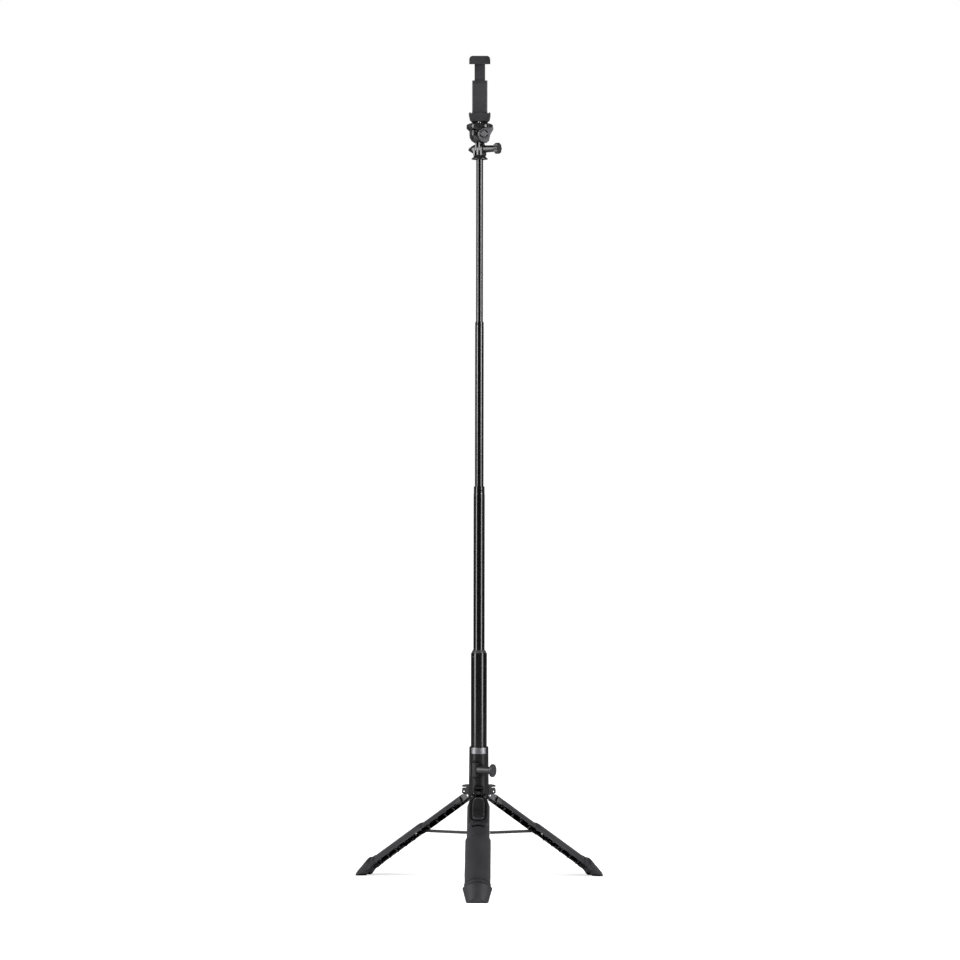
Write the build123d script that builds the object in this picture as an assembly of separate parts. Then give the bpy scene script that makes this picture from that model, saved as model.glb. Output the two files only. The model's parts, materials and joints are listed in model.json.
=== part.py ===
"""Selfie stick with a folding tripod base, a four-stage pole, a ball head and a sliding phone clamp.

Units are millimetres, +Z is up. The origin is on the ground, on the pole's axis. The front leg points to -Y.
Heights are drawn from a datum LIFT above the ground, and every finished piece is lifted by that.
Each leg and brace is drawn folded against the pole, in a leg frame whose +X points away from the pole and
whose +Y is tangential, then swung open about its pivot and turned to its place round the pole.
"""

from build123d import *
from math import acos, atan2, cos, degrees, hypot, radians, sin
import os

# Tripod layout
LEG_AZIMUTHS = {"front": -90, "right": 30, "left": 150}
OPEN_ANGLE = 55.7
LIFT = 2.0
PIVOT_R = 14.0
PIVOT_Z = 131.0
WEDGE_HALF = 60.0
LEG_GAP = 0.35

# Leg section and length. Lengths run down the leg from its pivot. The section's arcs are centred LEG_OUT
# outside the pole's axis.
LEG_OUT = 3.0
SHELL_OUT = 19.7
SHELL_IN = 17.7
FLANGE_IN = 16.4
FLANGE_T = 4.4
SHELL_TOP = 12.0
SHELL_END = 214.0
GRIP_OUT = 22.1
GRIP_TOP = 94.0
GRIP_END = 194.5
RIB_STEP = 17.5
RIB_T = 1.6
SOLID_STRETCH = (94.0, 112.0)
POCKET_DEEP = 3.0
POCKET_IN = 17.2
POCKET_OUT = 19.0
CHANNEL_HALF = 7.0
RIVET_R = 18.0
FOOT_TIP = 212.6
FOOT_SIDES = ((205.0, 22.4), (240.0, 14.6))

# Hinge lugs, ears and release levers
LUG_HALF = 7.3
EAR_IN = 7.5
EAR_OUT = 9.5
EAR_R = 2.8
PIVOT_PIN_R = 1.25
LEVER_PIN_R = 1.1
LEVER_R = 21.2
LEVER_Z = 136.8
LEVER_HALF = 3.6
LUG_TOP = 146.4

# Braces and their hub
HUB_R = 16.0
HUB_Z = 74.0
HUB_EAR_R = 1.9
BRACE_HALF_T = 1.4
BRACE_HALF_H = 2.1
BRACE_PIN_R = 1.1
BRACE_AT = 107.0
BRACE_OFFSET = 1.8
BRACE_EYE_R = 1.75
RAIL_IN = 4.6
RAIL_OUT = 6.2
SLOT_GAP = 0.3
SLOT_STEPS = 8

# Collar, its sleeve and clamp
SLEEVE_IN = 12.06
SLEEVE_OUT = 13.1
SLEEVE_BOTTOM = 66.2
SLEEVE_TOP = 152.0
COLLAR_BOTTOM = 126.0
COLLAR_TOP = 204.8
COLLAR_R_LOW = 15.0
COLLAR_R_TOP = 14.4
CLAMP_TURN = -27.0
CLAMP_Z = 171.4
CLAMP_D = 18.5
CLAMP_LEFT = -4.0
CLAMP_RIGHT = 8.0
CLAMP_HALF_H = 10.2

# Pole tubes: outer radius, inner radius, bottom, top, tip length, tip outer radius
BASE_R = 12.0
BASE_IN = 11.0
BASE_BOTTOM = 62.0
BASE_TOP = 345.6
TUBE_STAGES = {
    2: (8.45, 7.7, 326.5, 596.4, 12.0, 8.15),
    3: (6.55, 5.85, 576.3, 844.0, 8.0, 6.45),
    4: (5.25, 4.5, 827.9, 1088.8, 0.0, 5.25),
}
FIT = 0.05

# Crimp marks near each tube's tip: drop from the tip and direction
CRIMPS = {2: ((6.0, 300.0), (6.0, 180.0)), 3: ((3.6, 240.0), (3.6, 60.0))}

# Pole head, thumbscrew and ball head
PRONG_TURN = -27.0
PRONG_Z = 1104.0
PRONG_R = 7.4
PRONG_T = 3.0
BOLT_R = 2.4
HEAD_BOTTOM = 1088.8
BALL_Z = 1134.0
BALL_R = 8.0
RING_BOTTOM = 1131.2
RING_TOP = 1142.4
RING_LOBE_R = 20.2
LOBE_ROUND = 6.4
RIB_BOTTOM = 1121.8
RING_TURN = -3.0
WING_TURN = 14.0
WING_Z = 1124.7

# Phone clamp
JAW_HALF = 16.3
JAW_FOOT_HALF = 15.0
JAW_FRONT = -13.0
JAW_BOTTOM = 1145.0
PHONE_LOW = 1155.9
PHONE_HIGH = 1233.0
JAW_TOP = 1243.0
LIP_T = 3.6
LIP_H = 2.2
TOOTH_COUNT = 9

# Remote control, placed along the front leg
REMOTE_TOP = 13.5
REMOTE_DEEP_END = 53.0
REMOTE_END = 69.0
REMOTE_HALF = 12.0
REMOTE_BACK = 15.0
REMOTE_TAIL_BACK = 18.9
REMOTE_FACE = 21.4
DOCK_RIM = 18.4

BASE = (Align.CENTER, Align.CENTER, Align.MIN)
FAR = 400.0


# ---------- general shapes ----------


def box(x0, x1, y0, y1, z0, z1):
    """A box from its two opposite corners."""
    middle = Pos((x0 + x1) / 2, (y0 + y1) / 2, (z0 + z1) / 2)
    return middle * Box(x1 - x0, y1 - y0, z1 - z0)


def rod(radius, z0, z1):
    """An upright solid cylinder on the Z axis."""
    return Pos(0, 0, z0) * Cylinder(radius, z1 - z0, align=BASE)


def tube(r_out, r_in, z0, z1):
    """An upright tube on the Z axis."""
    return rod(r_out, z0, z1) - rod(r_in, z0 - 1, z1 + 1)


def turned(points):
    """A solid of revolution about Z from (radius, z) corners."""
    profile = Plane.XZ * make_face(Polyline(*points, close=True))
    return revolve(profile, Axis.Z)


def pin_y(radius, x, z, y0, y1):
    """A cylinder along Y at (x, z)."""
    return Pos(x, y1, z) * Rot(90, 0, 0) * Cylinder(radius, y1 - y0, align=BASE)


def plate_y(points, y0, y1):
    """A plate between y0 and y1 from (x, z) corners."""
    profile = Plane.XZ.offset(-y1) * make_face(Polyline(*points, close=True))
    return extrude(profile, y1 - y0)


def both_sides(shape):
    """The shape and its mirror image across the XZ plane."""
    return shape + mirror(shape, Plane.XZ)


def wedge(margin):
    """The space inside the leg's third of the circle, kept back from its two edges by margin."""
    low = Rot(0, 0, WEDGE_HALF) * box(-FAR, FAR, -2 * FAR, -margin, -FAR, FAR)
    high = Rot(0, 0, -WEDGE_HALF) * box(-FAR, FAR, margin, 2 * FAR, -FAR, FAR)
    return low & high


def along(distance):
    """Height, with the leg folded, of a point this far down the leg from its pivot."""
    return PIVOT_Z - distance


def around(shape, azimuth):
    """Turn a shape from the leg frame to its place round the pole."""
    return Rot(0, 0, azimuth) * shape


def swing(shape, angle):
    """Swing a folded leg outward about its pivot."""
    return Pos(PIVOT_R, 0, PIVOT_Z) * Rot(0, -angle, 0) * Pos(-PIVOT_R, 0, -PIVOT_Z) * shape


def opened(shape, azimuth):
    """Put a folded leg piece in its open place."""
    return around(swing(shape, OPEN_ANGLE), azimuth)


# ---------- fold geometry ----------


def turn_point(x, z, angle):
    """Turn (x, z) by angle about +Y, from +X towards -Z."""
    c, s = cos(radians(angle)), sin(radians(angle))
    return x * c + z * s, -x * s + z * c


def brace_open_end():
    """The brace pin's place with the legs open, in the leg frame."""
    x, z = turn_point(BRACE_OFFSET, -BRACE_AT, -OPEN_ANGLE)
    return PIVOT_R + x, PIVOT_Z + z


def brace_length():
    x, z = brace_open_end()
    return hypot(x - HUB_R, z - HUB_Z)


def brace_open_dip():
    """The brace's angle below level with the legs open."""
    x, z = brace_open_end()
    return degrees(atan2(HUB_Z - z, x - HUB_R))


def brace_folded_dip():
    """The same angle with the legs folded, when the pin is BRACE_OFFSET outside the pivot's line."""
    return degrees(acos((PIVOT_R + BRACE_OFFSET - HUB_R) / brace_length()))


def brace_ratio():
    """The brace's turn for each degree of the leg's turn."""
    return (brace_folded_dip() - brace_open_dip()) / OPEN_ANGLE


def slot_point(share):
    """The brace pin's place in the folded leg's frame when the fold is this share of the way."""
    dip = brace_open_dip() + share * (brace_folded_dip() - brace_open_dip())
    x = HUB_R + brace_length() * cos(radians(dip))
    z = HUB_Z - brace_length() * sin(radians(dip))
    dx, dz = turn_point(x - PIVOT_R, z - PIVOT_Z, OPEN_ANGLE * (1 - share))
    return PIVOT_R + dx, PIVOT_Z + dz


def pin_slot(radius, y0, y1):
    """The track that the brace pin runs in, as a chain of round-ended stretches."""
    points = [slot_point(i / SLOT_STEPS) for i in range(SLOT_STEPS + 1)]
    track = None
    for (x0, z0), (x1, z1) in zip(points, points[1:]):
        length = hypot(x1 - x0, z1 - z0)
        tilt = degrees(atan2(z1 - z0, x1 - x0))
        bar = Pos((x0 + x1) / 2, 0, (z0 + z1) / 2) * Rot(0, -tilt, 0) * Box(length, y1 - y0, 2 * radius)
        bar = Pos(0, (y0 + y1) / 2, 0) * bar
        stretch = bar + pin_y(radius, x0, z0, y0, y1) + pin_y(radius, x1, z1, y0, y1)
        track = stretch if track is None else track + stretch
    return track


# ---------- legs ----------


def outward(shape):
    """Move a piece of the leg's section from the pole's axis to the section's own centre."""
    return Pos(LEG_OUT, 0, 0) * shape


def leg_ears():
    """Two plates beside the collar's lug that carry the leg on its stub pins."""
    eye = pin_y(EAR_R, PIVOT_R, PIVOT_Z, EAR_IN, EAR_OUT)
    arm = [
        (PIVOT_R - EAR_R, PIVOT_Z),
        (PIVOT_R + EAR_R, PIVOT_Z),
        (SHELL_OUT + LEG_OUT, along(SHELL_TOP)),
        (SHELL_OUT + LEG_OUT, along(28)),
        (PIVOT_R - EAR_R, along(28)),
    ]
    ear = (eye + plate_y(arm, EAR_IN, EAR_OUT)) & outward(rod(SHELL_OUT - 0.4, -FAR, FAR))
    ear -= pin_y(PIVOT_PIN_R + FIT, PIVOT_R, PIVOT_Z, 0, 20)
    return both_sides(ear)


def channel_ribs():
    """Cross ribs inside the channel, with a solid stretch at the brace pin and a clear middle lane."""
    stretches = [(d, d + RIB_T) for d in rib_starts()]
    stretches.append(SOLID_STRETCH)
    ring = None
    for start, end in stretches:
        piece = tube(SHELL_IN + 0.2, FLANGE_IN, along(end), along(start))
        ring = piece if ring is None else ring + piece
    lane = box(0, FAR, -CHANNEL_HALF, CHANNEL_HALF, -FAR, FAR)
    return (ring & wedge(LEG_GAP + 1)) - lane


def rib_starts():
    """How far down the leg each rib starts."""
    count = int((SHELL_END - SHELL_TOP) // RIB_STEP)
    return [SHELL_TOP + RIB_STEP * (i + 0.8) for i in range(count)]


def side_pockets():
    """Pockets in the leg's two side faces, with ribs between them. The lower ones are open underneath."""
    faces = wedge(-1) - wedge(LEG_GAP + POCKET_DEEP)
    closed = tube(POCKET_OUT, POCKET_IN, along(SOLID_STRETCH[1]), along(SHELL_TOP + 10))
    opening = tube(POCKET_OUT, FLANGE_IN - 1, along(SHELL_END - 8), along(SOLID_STRETCH[1]))
    pockets = (closed + opening) & faces
    walls = [(d, d + RIB_T) for d in rib_starts()] + [SOLID_STRETCH]
    for start, end in walls:
        pockets -= box(-FAR, FAR, -FAR, FAR, along(end), along(start))
    return pockets


def pin_rails():
    """Two rails inside the channel, for the brace pin's track."""
    rail = box(11.95, SHELL_IN + LEG_OUT + 0.1, RAIL_IN, RAIL_OUT, along(152), along(98))
    rail &= outward(rod(SHELL_IN + 0.2, -FAR, FAR))
    return both_sides(rail)


def shell_top_cut():
    """The sloped corners at the top of the shell."""
    corner = [(SHELL_TOP - 1, 12.9), (SHELL_TOP - 1, 30.0), (SHELL_TOP + 18, 30.0), (SHELL_TOP + 18, 19.4)]
    face = Plane.YZ * make_face(Polyline(*[(y, along(d)) for d, y in corner], close=True))
    return both_sides(extrude(face, 30))


def leg_shell_blank():
    """The curved outer wall with its side flanges, ears, ribs and rails."""
    top, bottom = along(SHELL_TOP), along(SHELL_END)
    outer = tube(SHELL_OUT, SHELL_IN, bottom, top) & wedge(LEG_GAP)
    flanges = (tube(SHELL_OUT, FLANGE_IN, bottom, top) & wedge(LEG_GAP)) - wedge(LEG_GAP + FLANGE_T)
    section = outer + flanges + channel_ribs() - shell_top_cut() - side_pockets()
    shell = outward(section) + pin_rails()
    shell -= pin_slot(BRACE_PIN_R + SLOT_GAP / 2, -RAIL_OUT - 0.7, RAIL_OUT + 0.7)
    return shell + leg_ears() - outward(grip_rivets(0.02))


def dock_block():
    """The raised, eight-sided frame on the front leg that the remote lies in."""
    top, end, half, corner = 11.6, 72.5, 13.9, 6.0
    outline = [
        (-half + corner, along(top)),
        (half - corner, along(top)),
        (half, along(top + corner)),
        (half, along(end - 3)),
        (half - 3, along(end)),
        (-half + 3, along(end)),
        (-half, along(end - 3)),
        (-half, along(top + corner)),
    ]
    face = Plane.YZ.offset(13.9) * make_face(Polyline(*outline, close=True))
    block = extrude(face, DOCK_RIM - 13.9)
    return block - rod(SHELL_IN + 0.5, along(end + 1), along(REMOTE_DEEP_END + 1.9))


def remote_outline(grow, start, end):
    """The remote's eight-sided outline, as (tangential, height) corners, larger by grow."""
    half, corner = REMOTE_HALF + grow, 5.0
    top, low = along(start - grow), along(end + grow)
    return [
        (-half + corner, top),
        (half - corner, top),
        (half, top - corner),
        (half, low + 3.4),
        (half - 3.4, low),
        (-half + 3.4, low),
        (-half, low + 3.4),
        (-half, top - corner),
    ]


def remote_prism(grow, start, end, x0, x1):
    face = Plane.YZ.offset(x0) * make_face(Polyline(*remote_outline(grow, start, end), close=True))
    return extrude(face, x1 - x0)


def remote_deep(grow, x0, x1):
    """The thick part of the remote, whose lower end is square."""
    prism = remote_prism(grow, REMOTE_TOP, REMOTE_END, x0, x1)
    return prism & box(0, FAR, -FAR, FAR, along(REMOTE_DEEP_END + grow), FAR)


def leg_shell_front():
    """The front leg's shell, with the dock for the remote and a finger slot below it."""
    dock = dock_block() + box(18.25, REMOTE_TAIL_BACK, -12.0, 12.0, along(72.0), along(55.4))
    shell = leg_shell_blank() + outward(dock)
    shell -= outward(remote_deep(0.2, REMOTE_BACK - 0.1, 40))
    shell -= outward(remote_prism(0.2, REMOTE_TOP, REMOTE_END, REMOTE_TAIL_BACK - 0.1, 40))
    return shell - outward(box(16.0, 40, -9.0, 9.0, along(77.8), along(74.0)))


def leg_grip():
    """The thicker cover over the lower part of the leg, with a sloped upper edge."""
    inner = SHELL_OUT + FIT
    cover = turned(
        [
            (inner, along(GRIP_END)),
            (GRIP_OUT, along(GRIP_END)),
            (GRIP_OUT, along(GRIP_TOP + 8)),
            (GRIP_OUT - 0.5, along(GRIP_TOP + 4)),
            (inner + 0.25, along(GRIP_TOP)),
            (inner, along(GRIP_TOP)),
        ]
    )
    return outward(cover & wedge(LEG_GAP))


def foot_cut():
    """Everything under the ground or past the foot's upright tip face, seen from the folded leg."""
    ground = box(-FAR, FAR, -FAR, FAR, -FAR, -LIFT)
    beyond = box(FOOT_TIP, FAR, -FAR, FAR, -FAR, FAR)
    return swing(ground + beyond, -OPEN_ANGLE)


def foot_side_cut():
    """What the boot's two side planes take off as they close in towards the sole."""
    (start, wide), (end, narrow) = FOOT_SIDES
    corners = [(wide, along(start)), (FAR, along(start)), (FAR, along(end)), (narrow, along(end))]
    face = Plane.YZ * make_face(Polyline(*corners, close=True))
    return both_sides(extrude(face, FAR))


def foot():
    """The rubber boot: two ridges, a bulge, a taper, an upright tip face and a flat sole."""
    inner = SHELL_OUT + FIT
    body = turned(
        [
            (inner, along(195)),
            (21.9, along(195)),
            (22.9, along(196.5)),
            (22.9, along(199.5)),
            (22.5, along(201.5)),
            (23.0, along(203)),
            (25.1, along(206)),
            (25.1, along(209)),
            (24.2, along(213)),
            (18.0, along(242)),
            (8.0, along(242)),
            (8.0, along(222)),
            (17.4, along(218)),
            (17.4, along(SHELL_END + 0.1)),
            (inner, along(SHELL_END + 0.1)),
        ]
    )
    return outward((body & wedge(LEG_GAP)) - foot_side_cut()) - foot_cut()


def grip_rivets(grow=0.0):
    """A short sunk rivet in each flange of the channel, beside the brace pin."""
    place = Pos(RIVET_R, -0.85, along(BRACE_AT)) * Rot(-90, 0, 0)
    head = place * Cylinder(1.5 + grow, 0.75, align=BASE)
    shank = place * Pos(0, 0, -1.4 - grow) * Cylinder(0.9 + grow, 1.5, align=BASE)
    rivet = Rot(0, 0, WEDGE_HALF) * (head + shank)
    return both_sides(rivet)


# ---------- braces ----------


def brace_frame(shape):
    """Move a brace drawn along +X from the hub pin to its open place in the leg frame."""
    return Pos(HUB_R, 0, HUB_Z) * Rot(0, brace_open_dip(), 0) * shape


def brace():
    """A flat bar with an eye at each end."""
    length = brace_length()
    bar = box(0, length, -BRACE_HALF_T, BRACE_HALF_T, -BRACE_HALF_H, BRACE_HALF_H)
    bar += pin_y(HUB_EAR_R, 0, 0, -BRACE_HALF_T, BRACE_HALF_T)
    bar += pin_y(BRACE_EYE_R, length, 0, -BRACE_HALF_T, BRACE_HALF_T)
    bar -= pin_y(1.0 + FIT, 0, 0, -5, 5)
    bar -= pin_y(BRACE_PIN_R, length, 0, -5, 5)
    return brace_frame(bar)


def brace_pin():
    """The pin at the brace's outer end, which slides in the leg's track."""
    return brace_frame(pin_y(BRACE_PIN_R, brace_length(), 0, -RAIL_OUT - 0.4, RAIL_OUT + 0.4))


def brace_hub():
    """A ring on the sleeve's lower end with three forked ears."""
    hub = tube(14.6, SLEEVE_OUT, HUB_Z + 2.4, HUB_Z + 4.9)
    outline = [
        (SLEEVE_OUT - 0.5, HUB_Z - 1.9),
        (HUB_R, HUB_Z - 1.9),
        (HUB_R, HUB_Z + 1.9),
        (14.6, HUB_Z + 4.9),
        (SLEEVE_OUT - 0.5, HUB_Z + 4.9),
    ]
    plate = plate_y(outline, BRACE_HALF_T + 0.3, 4.6)
    plate += pin_y(HUB_EAR_R, HUB_R, HUB_Z, BRACE_HALF_T + 0.3, 4.6)
    ears = both_sides(plate) - pin_y(1.0, HUB_R, HUB_Z, -9, 9)
    for azimuth in LEG_AZIMUTHS.values():
        hub += around(ears, azimuth)
    return hub - rod(SLEEVE_OUT, 0, 100)


def hub_pins():
    pin = pin_y(1.0, HUB_R, HUB_Z, -5.6, 5.6)
    return three_times(pin)


def three_times(shape):
    """The shape at each leg, as separate solids."""
    return Compound([s for a in LEG_AZIMUTHS.values() for s in around(shape, a).solids()])


# ---------- collar ----------


def lug():
    """One hinge lug: a block with a thin slit under its top plate and a lane for the lever."""
    inner = SLEEVE_OUT + 0.05
    block = [
        (12.5, PIVOT_Z - 2.8),
        (15.8, PIVOT_Z - 2.8),
        (19.6, 131.6),
        (23.4, 133.0),
        (25.3, 134.3),
        (25.3, 138.2),
        (24.4, 142.1),
        (16.5, 142.1),
        (16.5, 143.4),
        (24.9, 143.4),
        (24.9, LUG_TOP),
        (12.5, LUG_TOP),
    ]
    lump = plate_y(block, -LUG_HALF, LUG_HALF)
    lump -= box(16.6, 40, -LEVER_HALF, LEVER_HALF, 120, 143.0)
    lump -= pin_y(LEVER_PIN_R, LEVER_R, LEVER_Z, -20, 20)
    return lump - rod(inner, 0, 300)


def pivot_holes():
    return both_sides(pin_y(PIVOT_PIN_R, PIVOT_R, PIVOT_Z, 6.0, 20))


def ear_slots():
    """Room in the collar for the leg's two ears."""
    slot = box(9.0, 30.0, EAR_IN - 0.2, EAR_OUT + 0.2, 120, PIVOT_Z + 4.2)
    return both_sides(slot)


def clamp_frame_place(shape):
    """Put a clamp piece, drawn with its screw along +X and its lugs toward -Y, on the collar."""
    return Rot(0, 0, CLAMP_TURN) * Pos(0, 0, CLAMP_Z) * shape


def clamp_lugs():
    """The two clamp lugs with the screw's hole, and the split between them."""
    block = box(CLAMP_LEFT, CLAMP_RIGHT, -CLAMP_D - 5.0, -10, -CLAMP_HALF_H, CLAMP_HALF_H)
    upright = block.edges().filter_by(Axis.Z).group_by(Axis.Y)[0]
    block = fillet(upright, 1.8)
    return clamp_frame_place(block)


def clamp_cuts():
    split = box(-0.6, 0.6, -40, -11, -14, 14)
    hole = Pos(-20, -CLAMP_D, 0) * Rot(0, 90, 0) * Cylinder(2.1, 40, align=BASE)
    seat = Pos(CLAMP_LEFT - 0.1, -CLAMP_D, 0) * Rot(0, 90, 0) * extrude(RegularPolygon(3.6, 6), 2.6)
    return clamp_frame_place(split + hole + seat)


def collar_body():
    """The moulded collar with three hinge lugs and a split clamp."""
    body = turned(
        [
            (SLEEVE_OUT + 0.02, COLLAR_BOTTOM),
            (COLLAR_R_LOW, COLLAR_BOTTOM),
            (COLLAR_R_LOW, 148.0),
            (COLLAR_R_TOP, COLLAR_TOP - 0.8),
            (COLLAR_R_TOP - 0.8, COLLAR_TOP),
            (SLEEVE_IN, COLLAR_TOP),
            (SLEEVE_IN, SLEEVE_TOP),
            (SLEEVE_OUT + 0.02, SLEEVE_TOP),
        ]
    )
    body += clamp_lugs() - rod(13.5, 100, 300)
    body -= clamp_cuts() - rod(11, 0, 300)
    body -= rod(SLEEVE_IN, SLEEVE_TOP, 300)
    for azimuth in LEG_AZIMUTHS.values():
        body -= around(ear_slots(), azimuth)
        body += around(lug(), azimuth)
        body -= around(pivot_holes(), azimuth)
    body -= rod(SLEEVE_OUT + 0.02, 100, SLEEVE_TOP)
    badge_seat = tube(20, COLLAR_R_TOP - 0.3, 194.6, 204.0) & Rot(0, 0, -90) * badge_wedge(49)
    return body - badge_seat


def badge_wedge(half):
    low = Rot(0, 0, half) * box(-FAR, FAR, -2 * FAR, 0, -FAR, FAR)
    high = Rot(0, 0, -half) * box(-FAR, FAR, 0, 2 * FAR, -FAR, FAR)
    return low & high


def badge_plate():
    """A blank curved plate let into the collar's front."""
    plate = tube(COLLAR_R_TOP + 0.35, COLLAR_R_TOP - 0.3, 194.7, 203.9)
    return plate & Rot(0, 0, -90) * badge_wedge(48)


def clamp_knob():
    """Knob with a long neck and a thin round head."""
    start = CLAMP_RIGHT + 0.3
    neck = Pos(start, -CLAMP_D, 0) * Rot(0, 90, 0) * Cylinder(5.5, 31.2 - start, align=BASE)
    head = Pos(31.0, -CLAMP_D, 0) * Rot(0, 90, 0) * Cylinder(9.8, 4.0, align=BASE)
    head = fillet(head.edges().filter_by(GeomType.CIRCLE), 1.2)
    knob = neck + head
    knob -= Pos(-20, -CLAMP_D, 0) * Rot(0, 90, 0) * Cylinder(2.0, 38, align=BASE)
    return clamp_frame_place(knob)


def clamp_screw():
    screw = Pos(CLAMP_LEFT - 1.0, -CLAMP_D, 0) * Rot(0, 90, 0) * Cylinder(1.98, 22.6, align=BASE)
    return clamp_frame_place(screw)


def clamp_nut():
    nut = Pos(CLAMP_LEFT, -CLAMP_D, 0) * Rot(0, 90, 0) * extrude(RegularPolygon(3.5, 6), 2.4)
    nut -= Pos(-20, -CLAMP_D, 0) * Rot(0, 90, 0) * Cylinder(2.03, 38, align=BASE)
    return clamp_frame_place(nut)


def lever():
    """The release lever: an eye on its pin, a nose towards the pivot and a thumb tab."""
    outline = [
        (17.4, 133.6),
        (19.2, 133.6),
        (21.2, 134.4),
        (24.6, 135.6),
        (24.6, 137.4),
        (22.6, 139.6),
        (18.6, 139.6),
        (17.4, 137.6),
    ]
    body = plate_y(outline, -LEVER_HALF + 0.3, LEVER_HALF - 0.3)
    return body - pin_y(LEVER_PIN_R + FIT, LEVER_R, LEVER_Z, -9, 9)


def lever_pins():
    return three_times(pin_y(LEVER_PIN_R, LEVER_R, LEVER_Z, -LUG_HALF - 0.5, LUG_HALF + 0.5))


def leg_pins():
    return three_times(both_sides(pin_y(PIVOT_PIN_R, PIVOT_R, PIVOT_Z, 6.0, EAR_OUT + 0.5)))


# ---------- remote ----------


def remote_back_shell():
    """The remote's tray."""
    tray = remote_deep(0, REMOTE_BACK, 18.8)
    tray -= remote_deep(-1.2, REMOTE_BACK + 1.2, 30)
    return tray


def remote_front_shell():
    """The remote's cover, with a raised middle and a thin tail to lift it by."""
    cover = remote_prism(0, REMOTE_TOP, REMOTE_END, REMOTE_TAIL_BACK, 19.6)
    rims = []
    for x, grow in ((19.6, 0.0), (REMOTE_FACE, -3.4)):
        outline = remote_outline(grow, REMOTE_TOP, REMOTE_END)
        rims.append(Plane.YZ.offset(x) * make_face(Polyline(*outline, close=True)))
    cover += loft(rims)
    cover -= remote_deep(-1.2, 10, 20.4)
    return cover - button_post(0.25)


def button_post(grow):
    half, start, end = 4.6 + grow, 34 - grow, 42 + grow
    post = box(19.3, REMOTE_FACE + 0.5, -half, half, along(end), along(start))
    return fillet(post.edges().filter_by(Axis.X), 1.5)


def remote_button():
    """The one push button, flush with the face, with a flange that keeps it in."""
    flange = box(19.3, 19.9, -5.8, 5.8, along(43.3), along(32.7))
    return (button_post(0) + flange) & box(0, REMOTE_FACE + 0.35, -FAR, FAR, -FAR, FAR)


def remote_board():
    return box(17.4, 18.2, -9.5, 9.5, along(50), along(20.2))


def remote_cell():
    return Pos(16.3, 0, along(39)) * Rot(0, 90, 0) * Cylinder(8.0, 1.0, align=BASE)


# ---------- pole ----------


def dimple(radius, height, azimuth):
    """A ball that leaves a small crimp mark in a tube of this radius."""
    return Rot(0, 0, azimuth) * Pos(radius + 1.0, 0, height) * Sphere(1.5)


def base_tube():
    body = tube(BASE_R, BASE_IN, BASE_BOTTOM + 4, BASE_TOP)
    return body - dimple(BASE_R, BASE_TOP - 5, 225)


def base_stop_ring():
    """The flange under the base tube that stops it in the sleeve."""
    ring = tube(12.5, 9.2, BASE_BOTTOM, BASE_BOTTOM + 4)
    return ring + tube(BASE_IN - FIT, 9.2, BASE_BOTTOM + 4, BASE_BOTTOM + 12)


def base_tip_ring():
    """The stepped guide in the base tube's mouth."""
    bore = TUBE_STAGES[2][0] + FIT
    ring = turned(
        [
            (bore, BASE_TOP - 11),
            (BASE_IN - FIT, BASE_TOP - 11),
            (BASE_IN - FIT, BASE_TOP),
            (10.75, BASE_TOP),
            (10.75, BASE_TOP + 2.2),
            (10.2, BASE_TOP + 2.8),
            (9.7, BASE_TOP + 2.8),
            (9.7, BASE_TOP + 4.3),
            (bore, BASE_TOP + 4.3),
        ]
    )
    return ring


def pole_tube(stage):
    """One telescoping tube, rolled in at its tip to guide the next one."""
    r_out, r_in, bottom, top, tip, tip_r = TUBE_STAGES[stage]
    body = tube(r_out, r_in, bottom + 8, top - tip)
    if tip:
        bore = TUBE_STAGES[stage + 1][0] + FIT
        body += turned(
            [
                (r_in, top - tip),
                (r_out, top - tip),
                (tip_r, top - tip + 1.5),
                (tip_r, top - 0.5),
                (tip_r - 0.5, top),
                (bore, top),
                (bore, top - tip + 1.0),
            ]
        )
        for drop, azimuth in CRIMPS[stage]:
            body -= dimple(tip_r, top - drop, azimuth)
    return body


def tube_bush(stage):
    """The plastic bush on a tube's lower end, which guides it in the tube below."""
    r_out, r_in, bottom, top, tip, tip_r = TUBE_STAGES[stage]
    bore_below = BASE_IN if stage == 2 else TUBE_STAGES[stage - 1][1]
    next_r = 0.0 if stage == 4 else TUBE_STAGES[stage + 1][0] - 1.5
    bush = rod(bore_below - FIT, bottom, bottom + 8)
    bush += rod(r_in - 0.02, bottom + 8, bottom + 14)
    return bush - rod(next_r, bottom - 1, bottom + 20) if next_r else bush


def prong_place(shape):
    """Turn a piece drawn with its hinge bolt along +X to the pole head's direction."""
    return Rot(0, 0, PRONG_TURN) * Pos(0, 0, PRONG_Z) * shape


def prong(x, thickness, down):
    """A round-ended plate at x along the bolt, reaching down or up from the bolt."""
    x0, x1 = x - thickness / 2, x + thickness / 2
    disc = Pos(x0, 0, 0) * Rot(0, 90, 0) * Cylinder(PRONG_R, thickness, align=BASE)
    reach = -9.6 if down else 9.9
    low, high = min(0, reach), max(0, reach)
    return disc + box(x0, x1, -PRONG_R, PRONG_R, low, high)


def bolt_hole(radius):
    return Pos(-30, 0, 0) * Rot(0, 90, 0) * Cylinder(radius, 60, align=BASE)


def pole_head():
    """The three-pronged head on the thinnest tube."""
    flange = turned(
        [
            (0, HEAD_BOTTOM),
            (12.2, HEAD_BOTTOM),
            (12.2, HEAD_BOTTOM + 1.0),
            (9.6, HEAD_BOTTOM + 3.4),
            (8.4, HEAD_BOTTOM + 6.0),
            (0, HEAD_BOTTOM + 6.0),
        ]
    )
    prongs = prong(-6, PRONG_T, True) + prong(0, PRONG_T, True) + prong(6, PRONG_T, True)
    head = flange + prong_place(prongs - bolt_hole(BOLT_R + 0.1))
    return head + rod(TUBE_STAGES[4][1] - 0.02, HEAD_BOTTOM - 14, HEAD_BOTTOM)


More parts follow.
